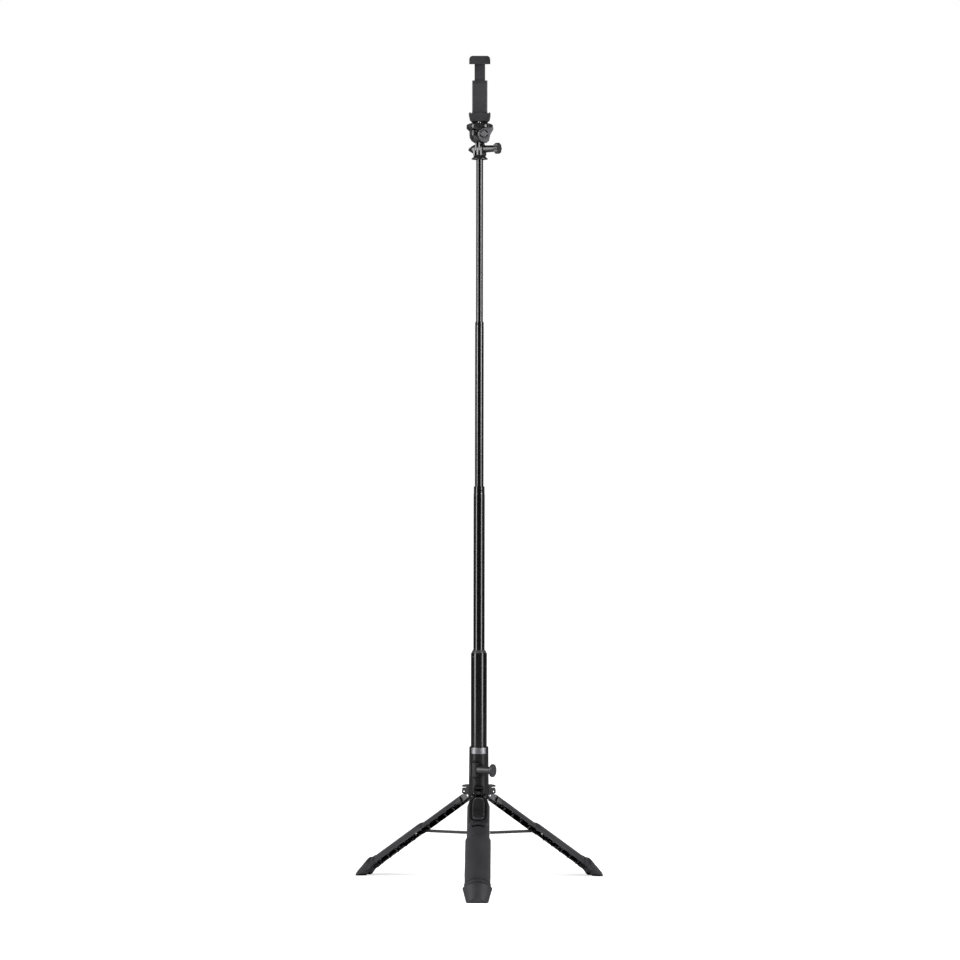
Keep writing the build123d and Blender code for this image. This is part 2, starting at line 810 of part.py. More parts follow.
def mount_nut():
    """The pointed cap nut at the bolt's far end."""
    nut = Rot(0, -90, 0) * turned(
        [(0, 7.6), (6.5, 7.6), (6.5, 10.0), (5.4, 12.4), (3.4, 15.6), (1.9, 18.2), (0, 18.8)]
    )
    return prong_place(nut - Pos(-14, 0, 0) * Rot(0, 90, 0) * Cylinder(BOLT_R + 0.03, 10, align=BASE))


def thumbscrew_knob():
    """Eight-lobed knob on a tapering neck."""
    neck = turned([(0, 7.7), (5.5, 7.7), (5.5, 9.2), (4.9, 26.8), (0, 26.8)])
    head = rod(7.6, 26.6, 33.6)
    head = fillet(head.edges().filter_by(GeomType.CIRCLE), 1.2)
    for i in range(8):
        lobe = Rot(0, 0, 45 * i) * Pos(6.3, 0, 26.9) * Cylinder(2.0, 6.4, align=BASE)
        head += lobe
    knob = Rot(0, 90, 0) * (neck + head - rod(BOLT_R, 7, 30))
    return prong_place(knob)


def thumbscrew_bolt():
    return prong_place(Pos(-12.6, 0, 0) * Rot(0, 90, 0) * Cylinder(BOLT_R - 0.01, 41, align=BASE))


# ---------- ball head ----------


def wing_place(shape):
    """Put a wing knob piece, drawn with its screw along -Y, on the ball head."""
    return Rot(0, 0, WING_TURN) * Pos(0, 0, WING_Z) * shape


def ball_housing():
    """The cup of the ball head, with two prongs below and a threaded neck above."""
    body = turned(
        [
            (0, PRONG_Z + 9.6),
            (8.2, PRONG_Z + 9.6),
            (12.4, PRONG_Z + 12.4),
            (15.1, PRONG_Z + 17.0),
            (15.6, PRONG_Z + 20.5),
            (15.6, RING_BOTTOM - 0.3),
            (12.4, RING_BOTTOM - 0.3),
            (12.4, RING_TOP - 2.6),
            (0, RING_TOP - 2.6),
        ]
    )
    prongs = prong(-3, PRONG_T - 0.2, False) + prong(3, PRONG_T - 0.2, False)
    body += prong_place(prongs - bolt_hole(BOLT_R + 0.1))
    body -= Pos(0, 0, BALL_Z) * Sphere(BALL_R + FIT)
    body -= rod(BALL_R + FIT, BALL_Z, 1150)
    body -= rod(5.0, PRONG_Z + 15.6, BALL_Z)
    boss = wing_place(Pos(0, -12, 0) * Rot(90, 0, 0) * Cylinder(4.4, 4.6, align=BASE))
    body += boss - rod(12.5, 1100, 1150)
    rib = Cylinder(5.4, RING_BOTTOM - 0.3 - RIB_BOTTOM, align=BASE)
    rib = fillet(rib.edges().group_by(Axis.Z)[0], 2.4)
    body += Rot(0, 0, 240 + RING_TURN) * Pos(13.8, 0, RIB_BOTTOM) * rib - rod(12.5, 1100, 1150)
    body -= Pos(-10.4, -8.0, RIB_BOTTOM - 2.6) * Rot(90, 0, 0) * Cylinder(1.1, 10, align=BASE)
    return body - wing_place(Pos(0, -4, 0) * Rot(90, 0, 0) * Cylinder(2.1, 20, align=BASE))


def ball_cup():
    """The cup that the wing screw wedges up against the ball."""
    cup = rod(5.0 - FIT, PRONG_Z + 15.8, BALL_Z - 4)
    cup -= Pos(0, 0, BALL_Z) * Sphere(BALL_R + 0.02)
    notch = turned([(0, 0), (2.4, 0), (0, 2.4)])
    return cup - wing_place(Pos(0, -5.4, 0) * Rot(-90, 0, 0) * notch)


def ball_stud():
    """Ball, stem and the threaded stud for the phone clamp."""
    stud = Pos(0, 0, BALL_Z) * Sphere(BALL_R)
    stud += rod(3.4, BALL_Z + 6, JAW_BOTTOM - 0.1)
    return stud + rod(3.1, JAW_BOTTOM - 1, JAW_BOTTOM + 7.5)


def lock_ring():
    """The six-lobed ring that tightens on the housing's neck."""
    ring = rod(16.6, RING_BOTTOM, RING_TOP)
    for i in range(6):
        lobe = Rot(0, 0, 60 * i + RING_TURN) * Pos(RING_LOBE_R - LOBE_ROUND, 0, RING_BOTTOM)
        ring += lobe * Cylinder(LOBE_ROUND, RING_TOP - RING_BOTTOM - 1.2, align=BASE)
    ring &= turned(
        [
            (0, RING_BOTTOM),
            (15.6, RING_BOTTOM),
            (20.4, RING_BOTTOM + 3.6),
            (20.4, RING_TOP - 2.2),
            (17.2, RING_TOP),
            (0, RING_TOP),
        ]
    )
    ring -= rod(12.45, RING_BOTTOM - 1, RING_TOP - 2.4)
    return ring - rod(6.4, RING_BOTTOM, RING_TOP + 1)


def wing_knob():
    """A flat three-cornered knob with a raised hub and its pressing screw."""
    outline = [
        (7.9, 9.5),
        (15.1, 10.5),
        (15.1, 6.3),
        (10.5, -1.3),
        (8.6, -10.5),
        (4.9, -13.8),
        (1.0, -12.8),
        (-4.3, -9.5),
        (-8.2, -3.6),
        (-8.2, 2.3),
        (-4.3, 6.3),
        (1.6, 8.9),
    ]
    plate = plate_y(outline, -24.8, -21.7)
    plate = fillet(plate.edges().filter_by(Axis.Y), 1.2)
    groove = Pos(0, -23.3, 0) * Rot(90, 0, 0) * tube(6.9, 4.4, 0, 3)
    plate -= groove - box(-9, 9, -30, -20, -1.3, 1.3)
    hub = Pos(0, -16.9, 0) * Rot(90, 0, 0) * Cylinder(4.4, 8.7, align=BASE)
    screw = Pos(0, -5.2, 0) * Rot(90, 0, 0) * Cylinder(1.9, 13, align=BASE)
    tip = Pos(0, -5.2, 0) * Rot(-90, 0, 0) * turned([(0, 0), (1.9, 0), (0, 1.9)])
    return wing_place(hub + plate + screw + tip)


# ---------- phone clamp ----------


def lower_jaw_block(top):
    """The lower jaw's block, narrower towards its bottom, with two sloped bottom corners."""
    outline = [
        (-JAW_HALF, top),
        (-JAW_FOOT_HALF, JAW_BOTTOM + 3.6),
        (-JAW_FOOT_HALF + 3.6, JAW_BOTTOM),
        (JAW_FOOT_HALF - 3.6, JAW_BOTTOM),
        (JAW_FOOT_HALF, JAW_BOTTOM + 3.6),
        (JAW_HALF, top),
    ]
    block = plate_y(outline, JAW_FRONT, 12.0)
    return fillet(block.edges().filter_by(Axis.Y).group_by(Axis.Z)[0], 2.5)


def upper_jaw_block(bottom):
    """The upper jaw's block, with two rounded top corners."""
    half = JAW_HALF - 0.5
    block = box(-half, half, JAW_FRONT, 12.0, bottom, JAW_TOP)
    return fillet(block.edges().filter_by(Axis.Y).group_by(Axis.Z)[-1], 5.5)


def clamp_frame():
    """Lower jaw with its toothed front lip, and the upright back that guides the upper jaw."""
    shelf = PHONE_LOW - 1.0
    frame = lower_jaw_block(shelf)
    frame += box(-JAW_HALF, JAW_HALF, JAW_FRONT, JAW_FRONT + LIP_T, shelf, PHONE_LOW + LIP_H - 1.2)
    pitch = 2 * JAW_HALF / TOOTH_COUNT
    for i in range(TOOTH_COUNT):
        x = -JAW_HALF + (i + 0.5) * pitch
        top = PHONE_LOW + LIP_H
        frame += box(x - pitch * 0.28, x + pitch * 0.28, JAW_FRONT, JAW_FRONT + LIP_T, top - 1.3, top)
    back = box(-11.5, 11.5, 1.8, 11.0, shelf - 4, 1208)
    frame += fillet(back.edges().filter_by(Axis.Z), 1.5)
    frame -= box(-8.2, 8.2, 4.2, 7.0, 1149.0, 1300)
    frame -= Pos(0, 20, 1192) * Rot(90, 0, 0) * Cylinder(2.1, 13.2, align=BASE)
    return frame - rod(4.6, JAW_BOTTOM - 1, JAW_BOTTOM + 8.6)


def tripod_insert():
    """The brass insert that the stud screws into."""
    return tube(4.58, 3.15, JAW_BOTTOM, JAW_BOTTOM + 8.5)


def jaw_slide():
    """Upper jaw with its front lip and the plate that slides in the frame."""
    jaw = upper_jaw_block(PHONE_HIGH + 1.0)
    half = JAW_HALF - 0.5
    jaw += box(-half, half, JAW_FRONT, JAW_FRONT + LIP_T, PHONE_HIGH - LIP_H, PHONE_HIGH + 1.0)
    return jaw + box(-8.0, 8.0, 4.35, 6.85, 1174.6, PHONE_HIGH + 1.5)


def frame_pads():
    """Rubber pads on the lower shelf and on the back's face, as two solids."""
    low = box(-13, 13, JAW_FRONT + LIP_T + 0.3, 0.7, PHONE_LOW - 1.0, PHONE_LOW)
    back = box(-10, 10, 0.8, 1.8, PHONE_LOW + 4, 1204)
    return Compound([low.solid(), back.solid()])


def slide_pad():
    return box(-13, 13, JAW_FRONT + LIP_T + 0.3, 0.7, PHONE_HIGH, PHONE_HIGH + 1.0)


def jaw_lock_knob():
    """The knob at the back that presses on the sliding plate."""
    head = Pos(0, 12.0, 1192) * Rot(-90, 0, 0) * Cylinder(7.5, 6.5, align=BASE)
    head = fillet(head.edges().filter_by(GeomType.CIRCLE), 1.0)
    return head + Pos(0, 6.95, 1192) * Rot(-90, 0, 0) * Cylinder(2.0, 6, align=BASE)


# ---------- the part ----------


def leg_nodes():
    """Every piece that each leg carries, in its open place."""
    nodes = {}
    for name, azimuth in LEG_AZIMUTHS.items():
        shell = leg_shell_front() if name == "front" else leg_shell_blank()
        nodes[f"leg_shell_{name}"] = opened(shell, azimuth)
        nodes[f"leg_grip_{name}"] = opened(leg_grip(), azimuth)
        nodes[f"foot_{name}"] = opened(foot(), azimuth)
        nodes[f"grip_rivets_{name}"] = opened(outward(grip_rivets()), azimuth)
        nodes[f"brace_{name}"] = around(brace(), azimuth)
        nodes[f"brace_pin_{name}"] = around(brace_pin(), azimuth)
        nodes[f"lever_{name}"] = around(lever(), azimuth)
    return nodes


def remote_nodes():
    """The remote's pieces, in the open front leg."""
    makers = {
        "remote_front_shell": remote_front_shell,
        "remote_back_shell": remote_back_shell,
        "remote_button": remote_button,
        "remote_board": remote_board,
        "remote_cell": remote_cell,
    }
    return {name: opened(outward(make()), LEG_AZIMUTHS["front"]) for name, make in makers.items()}


def upright_nodes():
    """The pieces that stay upright: collar, pole, ball head and phone clamp."""
    makers = [
        collar_body, badge_plate, brace_hub, hub_pins, leg_pins, lever_pins,
        clamp_nut, clamp_knob, clamp_screw, base_tube, base_stop_ring, base_tip_ring,
        pole_head, mount_nut, thumbscrew_knob, thumbscrew_bolt,
        ball_housing, ball_cup, ball_stud, lock_ring, wing_knob,
        clamp_frame, jaw_slide, frame_pads, slide_pad, jaw_lock_knob, tripod_insert,
    ]
    nodes = {make.__name__: make() for make in makers}
    nodes["guide_sleeve"] = tube(SLEEVE_OUT, SLEEVE_IN, SLEEVE_BOTTOM, SLEEVE_TOP)
    for stage in TUBE_STAGES:
        nodes[f"tube_{stage}"] = pole_tube(stage)
        nodes[f"tube_{stage}_bush"] = tube_bush(stage)
    return nodes


def main():
    os.makedirs("parts", exist_ok=True)
    nodes = {**leg_nodes(), **remote_nodes(), **upright_nodes()}
    for name, shape in nodes.items():
        export_step(Pos(0, 0, LIFT) * shape, f"parts/{name}.step")
    print(len(nodes), "nodes")
    print("brace ratio", round(brace_ratio(), 5), "length", round(brace_length(), 3))
    print("slot", [tuple(round(v, 2) for v in slot_point(i / 4)) for i in range(5)])


main()
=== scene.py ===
"""The selfie stick's looks: materials, detailed pieces, floor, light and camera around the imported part.

Units are metres, +Z is up, the front leg points to -Y. The origin is on the floor, on the pole's axis.
Dimensions marked mm are turned into metres where a shape's points are made.
"""

import json
import math

import bmesh
import bpy
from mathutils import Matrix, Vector


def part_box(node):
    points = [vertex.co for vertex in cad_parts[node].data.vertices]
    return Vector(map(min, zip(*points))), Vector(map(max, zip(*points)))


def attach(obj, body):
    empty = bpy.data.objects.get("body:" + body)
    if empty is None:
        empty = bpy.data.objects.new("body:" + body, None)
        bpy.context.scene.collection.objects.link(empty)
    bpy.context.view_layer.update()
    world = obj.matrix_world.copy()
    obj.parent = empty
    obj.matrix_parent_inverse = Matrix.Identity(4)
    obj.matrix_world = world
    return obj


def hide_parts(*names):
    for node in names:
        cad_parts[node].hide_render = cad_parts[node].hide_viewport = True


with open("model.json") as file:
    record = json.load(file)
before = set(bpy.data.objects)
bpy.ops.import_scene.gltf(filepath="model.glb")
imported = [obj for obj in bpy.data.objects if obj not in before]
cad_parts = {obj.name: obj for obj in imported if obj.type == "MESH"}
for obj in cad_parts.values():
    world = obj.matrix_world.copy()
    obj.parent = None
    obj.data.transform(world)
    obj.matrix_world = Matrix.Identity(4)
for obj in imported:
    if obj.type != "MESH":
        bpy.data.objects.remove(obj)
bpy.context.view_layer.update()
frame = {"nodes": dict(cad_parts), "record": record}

MM = 0.001
NODES = frame["nodes"]

# The legs: azimuths, pivots in mm, angle from upright, and the shift of their section in mm
LEG_AZIMUTHS = {"front": -90.0, "right": 30.0, "left": 150.0}
PIVOT_R = 14.0
PIVOT_Z = 133.0
OPEN_ANGLE = 55.7
LEG_OUT = 3.0

# The open cells along the legs' edges, with painted shade near black in them. In mm: outer radius, span
# down the leg, pitch, phase, rib width
CELL_R = 18.4
CELL_SPAN = (22.0, 206.0)
CELL_PITCH = 17.5
CELL_FIRST = 8.5
CELL_RIB = 2.2

# Raised dashes along the remote's sloped sides, in mm. A size is out, across and along the leg
DASH_FIRST = 22.0
DASH_PITCH = 3.6
DASH_COUNT = 11
DASH_SIZE = (0.9, 1.1, 2.2)
DASH_OUT = 20.75
DASH_HALF = 9.7
DASH_BEVEL = 0.25

# Beads round the remote's cover, in mm: half width, span down the leg, the corners' cuts at the top and
# the bottom, height from the section's centre, and half thickness across and outward. The outer bead is
# near black: painted shade of the groove round the cover
RIM = {"half": 8.2, "span": (16.0, 62.6), "cuts": (4.4, 3.0), "height": 21.1, "thick": (0.8, 0.9)}
GROOVE_SHADE = {"half": 10.3, "span": (14.4, 65.8), "cuts": (5.2, 3.6), "height": 20.6, "thick": (1.5, 0.8)}
TUBE_SIDES = 8
CORNER_CUT = 0.2

# A near-black plate under the finger slot below the remote, painted shade in the slot, in mm
SLOT_HALF = 9.7
SLOT_DOWN = 75.9
SLOT_LONG = 3.0
SLOT_FACE_R = 17.3
SLOT_THICK = 0.25
SLOT_STEPS = 24
SLOT_REACH = 0.98
SLOT_SQUARENESS = 6

# The lock ring, in mm. Each lobe has a flat top this far out, with this half width
RING_LOBES = 6
RING_TURN = -3.0
RING_FLAT = (19.9, 3.2)
RING_VALLEY = 17.4
RING_BORE = 12.45
RING_NECK = 6.4
RING_CREASE = 50.0

# Its section: height above the foot or depth below the top, radius, and how far the lobes stand out
RING_LOWER = ((0.0, RING_BORE, 0.0), (0.0, 15.4, 0.0), (0.4, 16.0, 0.12), (3.2, 17.2, 0.9), (4.2, 17.4, 1.0))
RING_UPPER = (
    (2.6, 17.4, 1.0),
    (1.6, 17.2, 0.9),
    (0.4, 16.4, 0.2),
    (0.0, 15.6, 0.0),
    (0.0, RING_NECK, 0.0),
    (2.4, RING_NECK, 0.0),
    (2.4, RING_BORE, 0.0),
)

# Moulded finishes: two shades, roughness, grains per metre and their depth in metres. Some also set the
# edges' rounding in metres, how worn they are, and the strength of reflections
MOULDED = {
    "shell_plastic": {
        "shades": ((0.0140, 0.0134, 0.0165), (0.0180, 0.0174, 0.0210)),
        "rough": 0.42, "grain": 2600.0, "depth": 0.00006, "worn": 0.25, "gleam": 0.75,
    },
    "grip_plastic": {
        "shades": ((0.0150, 0.0144, 0.0175), (0.0190, 0.0184, 0.0220)),
        "rough": 0.46, "grain": 3200.0, "depth": 0.00006, "worn": 0.2, "gleam": 0.75,
    },
    "rubber": {
        "shades": ((0.0145, 0.0140, 0.0170), (0.0190, 0.0184, 0.0215)),
        "rough": 0.50, "grain": 2200.0, "depth": 0.00008, "worn": 0.2,
    },
    "collar_plastic": {
        "shades": ((0.004, 0.004, 0.0045), (0.006, 0.006, 0.0066)),
        "rough": 0.36, "grain": 2400.0, "depth": 0.00004, "worn": 0.2, "gleam": 0.25,
    },
    "knob_plastic": {
        "shades": ((0.0120, 0.0116, 0.0130), (0.0165, 0.0160, 0.0180)),
        "rough": 0.44, "grain": 2600.0, "depth": 0.00006, "worn": 0.25,
    },
    "gloss_plastic": {
        "shades": ((0.008, 0.008, 0.0085), (0.012, 0.012, 0.0125)),
        "rough": 0.30, "grain": 1400.0, "depth": 0.00001, "edge": 0.0007, "worn": 0.15, "gleam": 0.45,
    },
    "bush_plastic": {
        "shades": ((0.018, 0.018, 0.020), (0.024, 0.024, 0.026)),
        "rough": 0.42, "grain": 2200.0, "depth": 0.00004,
    },
    "wing_satin": {
        "shades": ((0.040, 0.039, 0.043), (0.055, 0.054, 0.059)),
        "rough": 0.34, "grain": 2000.0, "depth": 0.00002, "edge": 0.0007, "worn": 0.2, "gleam": 0.9,
    },
    "rim_satin": {
        "shades": ((0.030, 0.030, 0.032), (0.040, 0.040, 0.042)),
        "rough": 0.28, "grain": 1800.0, "depth": 0.00001, "gleam": 1.0,
    },
    # Near black, for painted shade in the groove round the remote's cover and in the finger slot
    "painted_shade_black": {
        "shades": ((0.0008, 0.0008, 0.0008), (0.0015, 0.0015, 0.0015)),
        "rough": 0.6, "grain": 2400.0, "depth": 0.00004, "gleam": 0.1,
    },
}

# Drawn metal: two shades, roughness and how metallic it is. Turned metal: two shades and roughness
DRAWN = {
    "black_anodised": ((0.0012, 0.0012, 0.0014), (0.003, 0.003, 0.0033), 0.17, 0.0),
    "black_steel": ((0.008, 0.008, 0.009), (0.014, 0.014, 0.015), 0.30, 0.3),
}
TURNED = {
    "steel": ((0.50, 0.50, 0.52), (0.66, 0.66, 0.68), 0.24),
    "silver_plate": ((0.17, 0.17, 0.18), (0.26, 0.26, 0.27), 0.38),
    "brass": ((0.62, 0.44, 0.18), (0.78, 0.60, 0.30), 0.28),
}

# Details that the finishes share. Scales are in noise cells per metre
MIDDLE = (0.3, 0.7)
NOISE_ROUGHNESS = 0.55
NORMAL_SAMPLES = 6
MOTTLE_SCALE = 45.0
# Painted shade in crevices: how far occlusion looks, the occlusion range it maps, and its near-black colour
SHADE_REACH = 0.005
SHADE_AO_RANGE = (0.25, 0.8)
PAINTED_SHADE_COLOUR = (0.001, 0.001, 0.001)
EDGE_RANGE = (0.97, 0.80)
SCUFF_GAIN = 2.2
SCUFF_LIFT = 0.02
LINE_SCALES = (2600.0, 2600.0, 40.0)
STREAK_SCALES = (260.0, 260.0, 5.0)
SMUDGE_SCALE = 18.0
MARK_SCALE = 1800.0
PATCH_SCALE = 160.0
METAL_EDGES = {"drawn": 0.0003, "turned": 0.00025}
BOARD_SHADES = ((0.008, 0.10, 0.035), (0.03, 0.20, 0.06))
BOARD_TRACKS = 240.0

# Camera, level and with a slight roll and turn, in degrees
CAMERA_AT = (0.045, -4.592, 0.608)
CAMERA_LENS = 114.36
CAMERA_TURN = (90.0, -0.083, 0.5467)
CAMERA_CLIP = (0.05, 100.0)
SENSOR = 36.0

# Studio. A strip's band has a bottom, a top and a power. The floor's glow and the room's ramps map their
# first two numbers to their last two
FLOOR_RADIUS = 30.0
FLOOR_SIDES = 96
FLOOR_SHADES = ((0.88, 0.88, 0.88), (0.90, 0.90, 0.90))
FLOOR_ROUGHNESS = 0.8
FLOOR_GLOW = (0.3, 1.6, 0.62, 1.0)
STRIP_ANGLES = {"left": -58.0, "right": 53.0}
STRIP_DISTANCE = 1.9
STRIP_WIDTH = 0.55
STRIP_BANDS = {"low": (0.06, 0.68, 11.0), "high": (0.70, 2.2, 48.0)}
TOP_AT = (0, -0.4, 2.6)
TOP_AIM = (0, 0, 0.6)
TOP_SIZE = (1.6, 1.6)
TOP_POWER = 2.0
WHITE = (1.0, 1.0, 1.0, 1.0)
ROOM_RAMPS = {"Y": (-0.3, 1.0, 0.03, 0.5), "Z": (0.15, 0.85, 1.0, 0.12)}


# ---------- node helpers ----------


class Shader:
    """A material's node tree with short calls to add and join nodes."""

    def __init__(self, name):
        self.material = bpy.data.materials.new(name)
        self.material.use_nodes = True
        self.tree = self.material.node_tree
        self.surface = self.tree.nodes["Principled BSDF"]
        coordinates = self.add("ShaderNodeTexCoord")
        self.place = coordinates.outputs["Object"]

    def add(self, kind, **values):
        """A new node. Names with a capital are input sockets, the others are settings."""
        node = self.tree.nodes.new(kind)
        for key, value in values.items():
            if key[0].isupper():
                node.inputs[key.replace("_", " ")].default_value = value
            else:
                setattr(node, key, value)
        return node

    def join(self, output, node, socket):
        self.tree.links.new(output, node.inputs[socket])

    def stretched(self, scale):
        """The object's own coordinates, scaled differently along X, Y and Z."""
        mapping = self.add("ShaderNodeMapping", Scale=scale)
        self.join(self.place, mapping, "Vector")
        return mapping.outputs["Vector"]

    def noise(self, scale, detail, vector=None):
        node = self.add("ShaderNodeTexNoise", Scale=scale, Detail=detail, Roughness=NOISE_ROUGHNESS)
        self.join(vector or self.place, node, "Vector")
        return node.outputs["Fac"]

    def remap(self, value, low, high, to_low, to_high):
        """value from low..high to to_low..to_high, held at the ends."""
        node = self.add("ShaderNodeMapRange")
        for key, number in zip(
            ("From Min", "From Max", "To Min", "To Max"), (low, high, to_low, to_high)
        ):
            node.inputs[key].default_value = number
        self.join(value, node, "Value")
        return node.outputs["Result"]

    def maths(self, operation, a, b):
        node = self.add("ShaderNodeMath", operation=operation)
        for i, value in enumerate((a, b)):
            if isinstance(value, (int, float)):
                node.inputs[i].default_value = value
            else:
                self.tree.links.new(value, node.inputs[i])
        return node.outputs[0]

    def squared(self, value):
        return self.maths("MULTIPLY", value, value)

    def mix(self, share, a, b):
        """Colour a turning into colour b as share goes from 0 to 1."""
        node = self.add("ShaderNodeMix", data_type="RGBA")
        self.tree.links.new(share, node.inputs[0])
        for socket, value in ((6, a), (7, b)):
            if isinstance(value, tuple):
                node.inputs[socket].default_value = (*value, 1.0)
            else:
                self.tree.links.new(value, node.inputs[socket])
        return node.outputs[2]

    def rounded_normal(self, radius):
        """Softened edges of this radius."""
        node = self.add("ShaderNodeBevel", samples=NORMAL_SAMPLES, Radius=radius)
        return node.outputs["Normal"]

    def edge_share(self, radius):
        """1 on the sharp edges, 0 away from them."""
        bevel = self.rounded_normal(radius)
        geometry = self.add("ShaderNodeNewGeometry")
        dot = self.add("ShaderNodeVectorMath", operation="DOT_PRODUCT")
        self.tree.links.new(bevel, dot.inputs[0])
        self.tree.links.new(geometry.outputs["Normal"], dot.inputs[1])
        return self.remap(dot.outputs["Value"], *EDGE_RANGE, 0.0, 1.0)

    def unshaded_share(self, reach):
        """How much painted shade to leave out: 1 on open faces, 0 deep in a corner or pocket that is
        narrower than reach.
        """
        node = self.add("ShaderNodeAmbientOcclusion", samples=NORMAL_SAMPLES, Distance=reach)
        return self.remap(node.outputs["AO"], *SHADE_AO_RANGE, 0.0, 1.0)

    def distance_along(self, direction, start):
        """How far, in mm, a point lies along direction, less start."""
        node = self.add("ShaderNodeVectorMath", operation="DOT_PRODUCT")
        self.join(self.place, node, 0)
        node.inputs[1].default_value = direction / MM
        return self.maths("SUBTRACT", node.outputs["Value"], start)

    def cell_shade_mask(self, azimuth):
        """Mask for painted shade: 0 in the open cells along an open leg's two edges, 1 on its ribs and its
        outer face.
        """
        turn, lean = math.radians(azimuth), math.radians(OPEN_ANGLE)
        radial = Vector((math.cos(turn), math.sin(turn), 0))
        across = Vector((-radial.y, radial.x, 0))
        out = radial * math.cos(lean) + Vector((0, 0, math.sin(lean)))
        down = radial * math.sin(lean) - Vector((0, 0, math.cos(lean)))
        pivot = radial * PIVOT_R + Vector((0, 0, PIVOT_Z))
        x = self.distance_along(out, out.dot(pivot) - PIVOT_R + LEG_OUT)
        y = self.distance_along(across, 0.0)
        length = self.distance_along(down, down.dot(pivot))
        radius = self.maths("POWER", self.maths("ADD", self.squared(x), self.squared(y)), 0.5)
        phase = self.maths("MODULO", self.maths("SUBTRACT", length, CELL_FIRST), CELL_PITCH)
        inside = self.maths("LESS_THAN", radius, CELL_R)
        for part in (
            self.maths("GREATER_THAN", phase, CELL_RIB),
            self.maths("GREATER_THAN", length, CELL_SPAN[0]),
            self.maths("LESS_THAN", length, CELL_SPAN[1]),
        ):
            inside = self.maths("MULTIPLY", inside, part)
        return self.maths("SUBTRACT", 1.0, inside)

    def bump(self, height, depth, normal=None, strength=1.0):
        node = self.add("ShaderNodeBump", Strength=strength, Distance=depth)
        self.join(height, node, "Height")
        if normal is not None:
            self.join(normal, node, "Normal")
        return node.outputs["Normal"]

    def finish(self, colour, roughness, normal=None, **constants):
        """Join what varies to the surface, and set what doesn't on its own sockets."""
        for key, value in (("Base Color", colour), ("Roughness", roughness), ("Normal", normal)):
            if isinstance(value, float):
                self.surface.inputs[key].default_value = value
            elif value is not None:
                self.join(value, self.surface, key)
        for key, value in constants.items():
            self.surface.inputs[key.replace("_", " ")].default_value = value
        return self.material


# ---------- materials ----------


def moulded(name, shades, rough, grain, depth, edge=0.0004, worn=0.0, gleam=0.5, leg=None):
    """Moulded plastic or rubber: fine grain, faint mottling, soft worn edges, and painted shade that darkens
    the colour and the reflections in crevices.

    leg is the azimuth of a leg whose cells get painted shade, near black.
    """
    shader = Shader(name)
    dark, light = shades
    # Painted shade: narrow crevices and pockets go near black and lose their reflections
    share = shader.unshaded_share(SHADE_REACH)
    # Painted shade: the leg's open cells go near black as well
    if leg is not None:
        share = shader.maths("MULTIPLY", share, shader.cell_shade_mask(leg))
    mottle = shader.noise(MOTTLE_SCALE, 4.0)
    grains = shader.noise(grain, 2.0)
    colour = shader.mix(shader.remap(mottle, 0.35, 0.65, 0.0, 1.0), dark, light)
    if worn:
        scuffed = tuple(min(1.0, c * SCUFF_GAIN + SCUFF_LIFT) for c in light)
        wear = shader.maths("MULTIPLY", shader.edge_share(edge * 1.5), worn)
        colour = shader.mix(wear, colour, scuffed)
    # Painted shade mixed into the colour
    colour = shader.mix(share, PAINTED_SHADE_COLOUR, colour)
    # Reflections fade out with the painted shade
    shader.join(shader.maths("MULTIPLY", share, gleam), shader.surface, "Specular IOR Level")
    spread = shader.remap(mottle, *MIDDLE, rough - 0.05, rough + 0.05)
    fine = shader.remap(grains, *MIDDLE, -0.04, 0.04)
    roughness = shader.maths("ADD", spread, fine)
    normal = shader.bump(grains, depth, shader.rounded_normal(edge), 0.6)
    return shader.finish(colour, roughness, normal)


def drawn_metal(name, colour, bright, rough, metallic):
    """Drawn tube: fine lengthwise lines, with a few faint rubbed streaks."""
    shader = Shader(name)
    lines = shader.noise(1.0, 2.0, shader.stretched(LINE_SCALES))
    streaks = shader.noise(1.0, 3.0, shader.stretched(STREAK_SCALES))
    smudge = shader.noise(SMUDGE_SCALE, 4.0)
    tone = shader.mix(shader.remap(streaks, 0.45, 0.75, 0.0, 1.0), colour, bright)
    spread = shader.remap(smudge, 0.35, 0.7, rough - 0.03, rough + 0.05)
    roughness = shader.maths("ADD", spread, shader.remap(lines, *MIDDLE, -0.02, 0.02))
    normal = shader.bump(lines, 0.000004, shader.rounded_normal(METAL_EDGES["drawn"]), 0.35)
    return shader.finish(tone, roughness, normal, Metallic=metallic)


def turned_metal(name, dark, light, rough):
    """Bright turned or pressed metal with fine marks."""
    shader = Shader(name)
    marks = shader.noise(MARK_SCALE, 3.0)
    patches = shader.noise(PATCH_SCALE, 3.0)
    colour = shader.mix(shader.remap(patches, 0.35, 0.7, 0.0, 1.0), dark, light)
    roughness = shader.remap(marks, *MIDDLE, rough - 0.06, rough + 0.08)
    normal = shader.bump(marks, 0.00001, shader.rounded_normal(METAL_EDGES["turned"]), 0.4)
    return shader.finish(colour, roughness, normal, Metallic=1.0)


def circuit_lacquer():
    """Green lacquer over copper tracks."""
    shader = Shader("circuit_lacquer")
    tracks = shader.add("ShaderNodeTexBrick", Scale=BOARD_TRACKS, Mortar_Size=0.02)
    shader.join(shader.place, tracks, "Vector")
    tone = shader.mix(tracks.outputs["Fac"], *BOARD_SHADES)
    normal = shader.bump(tracks.outputs["Fac"], 0.00003)
    return shader.finish(tone, 0.25, normal)


